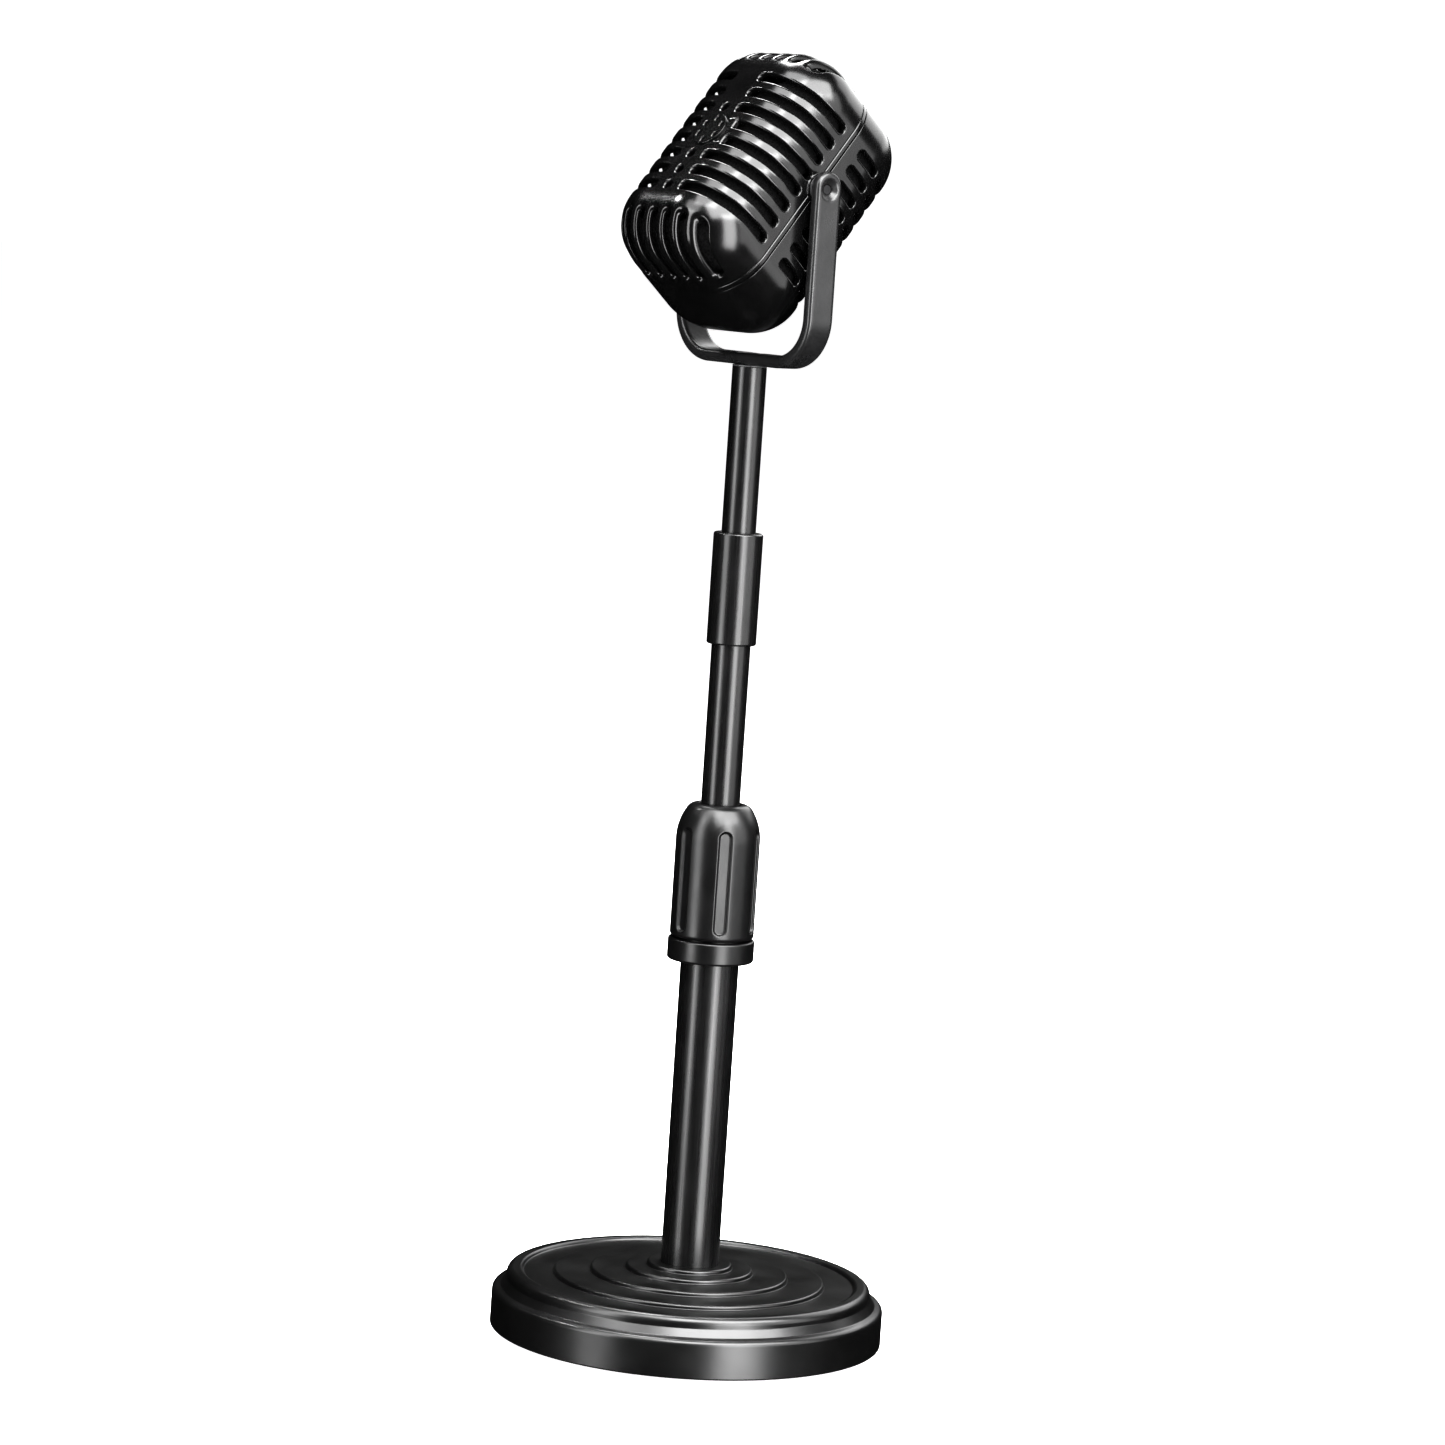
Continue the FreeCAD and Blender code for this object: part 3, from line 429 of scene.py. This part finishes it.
def surface_net(name, field, xs, ys, zs, place=None):
    """A quad mesh of the surface where a signed distance field is zero.

    One vertex goes in each grid cell that the surface crosses. It then slides along the
    field's slope onto the surface, whose slope also gives the normals.
    """
    values = field(xs[:, None, None], ys[None, :, None], zs[None, None, :])
    inside = values < 0
    total = sum(inside[i:inside.shape[0] - 1 + i, j:inside.shape[1] - 1 + j,
                       k:inside.shape[2] - 1 + k].astype(np.int8)
                for i in (0, 1) for j in (0, 1) for k in (0, 1))
    cells = np.argwhere((total > 0) & (total < 8))
    number = np.full(total.shape, -1, dtype=np.int64)
    number[tuple(cells.T)] = np.arange(len(cells))
    grid = (xs, ys, zs)

    def corner(offset):
        at = cells + offset
        place_of = np.stack([grid[axis][at[:, axis]] for axis in range(3)], -1)
        return place_of, values[tuple(at.T)]

    gathered = np.zeros((len(cells), 3))
    crossings = np.zeros(len(cells))
    for axis in range(3):
        others = [other for other in range(3) if other != axis]
        for a in (0, 1):
            for b in (0, 1):
                start = np.zeros(3, dtype=int)
                start[others[0]], start[others[1]] = a, b
                end = start.copy()
                end[axis] = 1
                (from_place, from_value), (to_place, to_value) = corner(start), corner(end)
                crossed = (from_value < 0) != (to_value < 0)
                gap = np.where(crossed, from_value - to_value, 1)
                share = np.where(crossed, from_value / gap, 0)[:, None]
                gathered += np.where(crossed[:, None],
                                     from_place + share * (to_place - from_place), 0)
                crossings += crossed
    points = gathered / crossings[:, None]

    def slope(at):
        tiny = 0.01
        rows = []
        for axis in range(3):
            step = np.zeros(3)
            step[axis] = tiny
            rows.append((field(*(at + step).T) - field(*(at - step).T)) / (2 * tiny))
        return np.stack(rows, -1)

    for _ in range(3):
        steep = slope(points)
        squared = np.maximum((steep ** 2).sum(1), 0.25)
        move = (field(*points.T) / squared)[:, None] * steep
        length = np.linalg.norm(move, axis=1, keepdims=True)
        points -= move * np.minimum(1, 0.2 / np.maximum(length, 1e-9))
    normals = slope(points)
    normals /= np.maximum(np.linalg.norm(normals, axis=1, keepdims=True), 1e-9)

    quads = []
    for axis in range(3):
        one, two = [other for other in range(3) if other != axis]
        low = inside[tuple(slice(None, -1) if k == axis else slice(1, -1) for k in range(3))]
        high = inside[tuple(slice(1, None) if k == axis else slice(1, -1) for k in range(3))]
        for leaving in (True, False):
            edges = np.argwhere((low & ~high) if leaving else (~low & high))
            around = []
            for a, b in ((0, 0), (1, 0), (1, 1), (0, 1)):
                at = edges.copy()
                at[:, one] += a
                at[:, two] += b
                around.append(number[tuple(at.T)])
            quad = np.stack(around, -1)
            quads.append(quad if leaving == (axis != 1) else quad[:, ::-1])
    quads = np.concatenate(quads)
    if place is not None:
        points, normals = place(points), place(normals, True)
    return mesh_from(name, points, quads, normals)


def stations(low, high, step, *fine):
    """Grid stations from low to high, closer together inside the fine (from, to, step) spans."""
    places = [low]
    while places[-1] < high:
        here = places[-1]
        gap = step
        for start, end, close in fine:
            if start - 1e-6 <= here < end - 1e-6:
                gap = close
        places.append(here + gap)
    return np.array(places)


# ---------------------------------------------------------------- head

# About the pivot, upright. SLOT is half a slot's width, and holes and posts are given by radius.
HALF_WIDE, HALF_DEEP, HALF_TALL = 25.4, 27.2, 39.7
CORNER, END, WALL = 18.0, 15.2, 2.0
CENTRE = -2.8
ROW_PITCH, ROWS, SLOT = 6.2, 8, 1.5
END_PITCH, ENDS = 6.0, 7
SLOT_START, SEAM_GAP, END_FROM, END_SEAM = 5.3, 4.5, 29.6, 5.2
LIP, END_LIP, INNER_LIP = 0.7, 1.3, 0.4
HOLE, HOLES = 1.4, 6
REAR_SIDE_END, REAR_FACE_FROM = 14.5, 17.2
SEAT_ACROSS, SEAT_HALF_WIDE, SEAT_HALF_TALL, SEAT_ROUND = 1.4, 8.0, 4.7, 0.8
BADGE, BADGE_RING, BADGE_HOLE, BADGE_HOLE_LIP = 5.8, 4.1, 0.6, 0.6
POST_ACROSS, POST_UP, FRONT_POST, REAR_POST = 8.5, 26.3, 2.8, 3.6
SCREW, SCREW_WAY, SCREW_WELL, SCREW_DEPTH = 1.3, 1.6, 2.6, 12.0
INNER_FACE, POST_END = 25.2, 25.4
FILLET, CRISP, SEAM_ROUND, SEAM_HALF = 0.6, 0.2, 0.25, 0.1
LIP_GROOVE, LIP_GROOVE_BACK = 0.2, 1.7
FOAM_WAY, FOAM_PIVOT_WAY = 4.1, 5.0
BOSS, BOSS_FROM, BOSS_TO, PIN = 4.2, 19.0, 26.6, 1.42


def tilted(points, only_turn=False):
    """From the head's own upright frame to the model's frame, at rest."""
    c, s = math.cos(TILT), math.sin(TILT)
    x, y, z = points.T
    lift = 0 if only_turn else PIVOT
    return np.stack([x, y * c + z * s, z * c - y * s + lift], -1)


def head_block(x, y, up, shrink=0.0):
    """The head's outer form, smaller by shrink on every side. up is from its middle."""
    corner, end = CORNER - shrink, END - shrink
    plan = out_of_box(np.abs(x) - (HALF_WIDE - CORNER), np.abs(y) - (HALF_DEEP - CORNER))
    return out_of_box(plan - corner + end, np.abs(up) - HALF_TALL + shrink + end) - end


def slot_rows(x, y, row):
    """Front slots: from beside the middle round to near the seam."""
    before_start = SLOT_START + SLOT - np.abs(x)
    beyond_end = y + SEAM_GAP + SLOT
    return np.hypot(np.maximum(np.maximum(before_start, beyond_end), 0), row) - SLOT


def end_slots(x, y, up):
    """Slots that wrap over the top and the bottom of the front."""
    column = nearest_of(x, END_PITCH, ENDS)
    before_start = END_FROM + SLOT - np.abs(up)
    beyond_end = y + END_SEAM + SLOT
    return np.hypot(np.maximum(np.maximum(before_start, beyond_end), 0), column) - SLOT


def pivot_boss(x, y, z):
    ring = np.hypot(y, z) - BOSS
    return out_of_box(ring, np.maximum(np.abs(x) - BOSS_TO, BOSS_FROM - np.abs(x)))


def screw_post(x, up, radius):
    across = np.abs(x) - POST_ACROSS
    return np.hypot(across, np.abs(up) - POST_UP) - radius


def centre_holes(x, up):
    """A column of holes up the middle, on all but the two highest rows."""
    row = nearest_of(up + ROW_PITCH * (ROWS - HOLES) / 2, ROW_PITCH, HOLES)
    return np.hypot(x, row) - HOLE


def add_posts_and_pivot(body, posts, x, y, z):
    """Blend the screw posts and the pivot boss in, and bore the pivot."""
    body = smooth_min(body, posts, FILLET)
    body = smooth_min(body, pivot_boss(x, y, z), FILLET)
    return smooth_max(body, PIN - np.hypot(y, z), CRISP)


def front_shell(x, y, z):
    up = z - CENTRE
    row = nearest_of(up, ROW_PITCH, ROWS)
    outer = head_block(x, y, up)
    inner = head_block(x, y, up, WALL)
    openings = slot_rows(x, y, row)
    openings = np.minimum(openings, centre_holes(x, up))
    seat = out_of_box(np.abs(x - SEAT_ACROSS) - SEAT_HALF_WIDE, np.abs(up) - SEAT_HALF_TALL)
    openings = smooth_max(openings, np.where(y < 0, -seat, -FAR), SEAT_ROUND)
    body = smooth_max(outer, -openings, LIP)
    body = smooth_max(body, -end_slots(x, y, up), END_LIP)
    body = smooth_max(body, -inner, INNER_LIP)
    posts = out_of_box(screw_post(x, up, FRONT_POST), -INNER_FACE - y)
    body = add_posts_and_pivot(body, posts, x, y, z)
    lip_line = np.hypot(outer + 0.02, y + LIP_GROOVE_BACK) - LIP_GROOVE
    body = smooth_max(body, -lip_line, 0.15)
    bore = np.hypot(screw_post(x, up, 0), np.maximum(-SCREW_DEPTH - y, 0)) - SCREW
    body = np.maximum(body, -bore)
    return smooth_max(body, y + SEAM_HALF, SEAM_ROUND)


def rear_shell(x, y, z):
    up = z - CENTRE
    row = nearest_of(up, ROW_PITCH, ROWS)
    outer = head_block(x, y, up)
    inner = head_block(x, y, up, WALL)
    along = np.maximum(SEAM_GAP + SLOT - y, y - REAR_SIDE_END + SLOT)
    side = np.hypot(np.maximum(along, 0), row)
    across = np.maximum(SLOT_START + SLOT - np.abs(x), REAR_FACE_FROM + SLOT - y)
    face = np.hypot(np.maximum(across, 0), row)
    openings = np.minimum(side, face) - SLOT
    openings = np.minimum(openings, np.where(y > 0, centre_holes(x, up), FAR))
    body = smooth_max(outer, -openings, LIP)
    body = smooth_max(body, -inner, INNER_LIP)
    posts = out_of_box(screw_post(x, up, REAR_POST), y - POST_END)
    body = add_posts_and_pivot(body, posts, x, y, z)
    body = smooth_max(body, -screw_post(x, up, SCREW_WAY), CRISP)
    well = out_of_box(screw_post(x, up, SCREW_WELL), SCREW_DEPTH - y)
    body = smooth_max(body, -well, 0.5)
    return smooth_max(body, SEAM_HALF - y, SEAM_ROUND)


def badge_form(x, y, z):
    """A round plate with a ring of six holes."""
    across, up = x - SEAT_ACROSS, z - CENTRE
    out = np.hypot(across, up)
    plate = smooth_max(out - BADGE, np.abs(y + HALF_DEEP + 0.25) - 0.35, 0.12)
    sector = math.pi / 3
    folded = np.arctan2(up, across) % sector - sector / 2
    hole = np.hypot(out * np.cos(folded) - BADGE_RING, out * np.sin(folded)) - BADGE_HOLE
    return smooth_max(plate, -hole, BADGE_HOLE_LIP)


def foam_form(x, y, z):
    """A soft lining just inside the shells, with ways for the posts and the pivots."""
    up = z - CENTRE
    form = head_block(x, y, up, WALL + 1.3)
    form = smooth_max(form, -screw_post(x, up, FOAM_WAY), 0.5)
    pivot = np.hypot(np.hypot(y, z), np.maximum(16.5 - np.abs(x), 0))
    return smooth_max(form, FOAM_PIVOT_WAY - pivot, 0.5)


def make_head(look):
    xs = stations(-27.6, 27.6, 0.52)
    zs = stations(-43.6, 38.0, 0.52)
    ys = stations(-28.2, 0.4, 0.52, (-2.6, 0.4, 0.2))
    mesh = surface_net("Head_front_shell", front_shell, xs, ys, zs, tilted)
    finish_piece("Head_front_shell", mesh, "head", "head_front_shell", look["gloss_black"])
    mesh = surface_net("Badge", badge_form, stations(-4.8, 7.6, 0.14),
                       stations(-28.1, -27.0, 0.1), stations(-9.0, 3.4, 0.14), tilted)
    finish_piece("Badge", mesh, "head", "badge_plate", look["badge_black"])
    mesh = surface_net("Foam", foam_form, stations(-23.4, 23.4, 0.8),
                       stations(-25.2, 25.2, 0.8), stations(-41, 35, 0.8), tilted)
    finish_piece("Foam", mesh, "head", "foam_insert", look["foam"])
    ys = stations(-0.4, 28.2, 0.52, (-0.4, 1.0, 0.2))
    mesh = surface_net("Head_rear_shell", rear_shell, xs, ys, zs, tilted)
    finish_piece("Head_rear_shell", mesh, "head", "head_rear_shell", look["gloss_black"])


# ---------------------------------------------------------------- yoke

YOKE_HALF, YOKE_THICK, YOKE_WIDE, YOKE_LOW, YOKE_CORNER = 30.9, 3.6, 9.6, 297.4, 15.5
YOKE_EDGE, YOKE_HOLE, DISH_DEEP, DISH_SLOPE = 1.5, 1.46, 1.5, 1.23
BAR_HOLE, COUNTERSINK_FROM = 2.0, 299.1


def yoke_form(x, y, z):
    """A band bent into a U, with round arm ends, a pin hole and a dish in each arm."""
    over = np.abs(x) - (YOKE_HALF - YOKE_CORNER)
    under = YOKE_LOW + YOKE_CORNER - z
    outside = out_of_box(over, under) - YOKE_CORNER
    band = smooth_max(outside, -outside - YOKE_THICK, 0.01)
    half = YOKE_WIDE / 2
    ends = np.hypot(np.maximum(z - PIVOT - 0.6, 0), y) - half
    form = smooth_max(band, ends, YOKE_EDGE)
    in_arm = np.abs(x) > YOKE_HALF / 3
    out = np.hypot(y, z - PIVOT) - YOKE_HOLE
    form = smooth_max(form, np.where(in_arm, -out, -FAR), CRISP)
    dish = (out - (np.abs(x) - YOKE_HALF + DISH_DEEP) * DISH_SLOPE) * 0.63
    form = smooth_max(form, np.where(in_arm, -dish, -FAR), 0.4)
    countersink = (BAR_HOLE + np.maximum(z - COUNTERSINK_FROM, 0) - np.hypot(x, y)) * 0.72
    return smooth_max(form, np.where(z < YOKE_LOW + YOKE_THICK * 2, countersink, -FAR), 0.25)


def make_yoke(look):
    mesh = surface_net("Yoke", yoke_form, stations(-31.6, 31.6, 0.4),
                       stations(-5.4, 5.4, 0.4), stations(296.8, 357.0, 0.4))
    finish_piece("Yoke", mesh, "yoke_arm", "yoke", look["yoke_black"])


# ---------------------------------------------------------------- stem


NUT, NUT_MOUTH, NUT_LOW, NUT_TOP, NUT_TAPER_FROM = 12.8, 8.8, 123.4, 164.3, 153.3
NUT_GROOVES, GROOVE_HALF, GROOVE_LOW, GROOVE_TOP, GROOVE_FLOOR = 6, 1.8, 127.5, 155.2, 11.7


def clutch_nut_form(x, y, z):
    """A turned nut with a curved shoulder and six finger grooves."""
    from_axis = np.hypot(x, y)
    narrowing, taper = NUT - NUT_MOUTH, NUT_TOP - NUT_TAPER_FROM
    arc = (narrowing ** 2 + taper ** 2) / (2 * narrowing)
    rise = np.maximum(z - NUT_TAPER_FROM, 0)
    wall = NUT - arc + np.sqrt(np.maximum(arc * arc - rise * rise, 0.01))
    outer = (from_axis - wall) * 0.97
    past_ends = np.abs(z - (NUT_LOW + NUT_TOP) / 2) - (NUT_TOP - NUT_LOW) / 2
    form = smooth_max(outer, past_ends, 1.4)
    angle = np.arctan2(y, x) + math.pi / 2
    sector = math.tau / NUT_GROOVES
    folded = (angle + sector / 2) % sector - sector / 2
    beside = from_axis * np.sin(folded)
    out = from_axis * np.cos(folded)
    past_groove = np.abs(z - (GROOVE_LOW + GROOVE_TOP) / 2) - (GROOVE_TOP - GROOVE_LOW) / 2
    groove = np.hypot(beside, np.maximum(past_groove, 0)) - GROOVE_HALF
    groove = smooth_max(groove, GROOVE_FLOOR - out, 0.5)
    form = smooth_max(form, -groove, 0.7)
    cavity = out_of_box(from_axis - 10.7, z - NUT_TAPER_FROM)
    shelf = out_of_box(from_axis - 9.1, z - 158.5)
    hole = from_axis - 6.3
    hollow = np.minimum(np.minimum(cavity, shelf), hole)
    return smooth_max(form, -hollow, 0.4)


def make_clutch(look):
    grid = stations(-13.4, 13.4, 0.33)
    mesh = surface_net("Clutch_nut", clutch_nut_form, grid, grid,
                       stations(122.8, 165.0, 0.36))
    finish_piece("Clutch_nut", mesh, "clutch", "clutch_nut", look["clutch_plastic"])
    body = lathe("Clutch_body", [
        (8.9, 116.3, 0.3), (13.2, 116.3, 0.8), (13.2, 123.0, 0.7), (10.6, 123.0, 0),
        (10.6, 139.0, 0.4), (8.9, 139.0, 0)])
    finish_piece("Clutch_body", body, "base", "clutch_body", look["clutch_plastic"])


def make_tubes(look):
    for name, node, body, outer, bore, low, high in (
            ("Lower_tube", "lower_tube", "base", 8.9, 7.9, 8.0, 139.0),
            ("Middle_tube", "middle_tube", "middle_stage", 5.9, 5.3, 95.0, 231.0),
            ("Upper_tube", "upper_tube", "upper_stage", 5.17, 4.57, 170.0, 296.9)):
        mesh = lathe(name, [(bore, low, 0.1), (outer, low, 0.2), (outer, high, 0.2),
                            (bore, high, 0.1)])
        finish_piece(name, mesh, body, node, look["black_tube"])
    sleeve = lathe("Collar_sleeve", [
        (5.9, 213.0, 0.1), (7.5, 213.0, 0.6), (7.5, 246.8, 0.7), (5.32, 246.8, 0.2),
        (5.32, 245.2, 0.1), (6.7, 245.2, 0.1), (6.7, 231.0, 0), (5.9, 231.0, 0)])
    finish_piece("Collar_sleeve", sleeve, "middle_stage", "collar_sleeve",
                 look["black_tube"])


# ---------------------------------------------------------------- base


def make_base(look):
    mesh = lathe("Base_shell", [
        (57.6, 0.6, 0.3), (60.0, 0.6, 0.5), (60.0, 12.0, 1.6), (57.4, 12.6, 0.6),
        (55.8, 15.0, 0.6), (55.8, 18.2, 2.2), (51.2, 18.2, 1.2), (50.6, 17.2, 0.5),
        (41.5, 17.2, 0.3), (41.5, 18.5, 0.7),
        (30.2, 18.5, 0.3), (30.2, 19.8, 0.7),
        (19.4, 19.8, 0.3), (19.4, 21.1, 0.7),
        (13.0, 21.1, 0.3), (13.0, 22.4, 0.7),
        (8.92, 22.4, 0.3), (8.92, 8.0, 0), (3.0, 8.0, 0), (3.0, 5.0, 0), (14.0, 5.0, 0),
        (14.0, 16.5, 0), (53.4, 14.8, 0), (53.4, 9.6, 0), (57.6, 9.6, 0)], turns=360)
    finish_piece("Base_shell", mesh, "base", "base_shell", look["base_plastic"])


# ---------------------------------------------------------------- carried-over pieces


def dress_nodes(look):
    """Give every CAD node that stays its own material."""
    slots = {row["node"]: row["material_slot"] for row in frame["record"]["subparts"]}
    for node, slot in slots.items():
        piece = frame["nodes"][node]
        piece.data.materials.clear()
        piece.data.materials.append(look[slot])


look = make_materials()
place_camera()
light_studio()
lay_floor()
dress_nodes(look)
make_base(look)
make_tubes(look)
make_clutch(look)
make_yoke(look)
make_head(look)
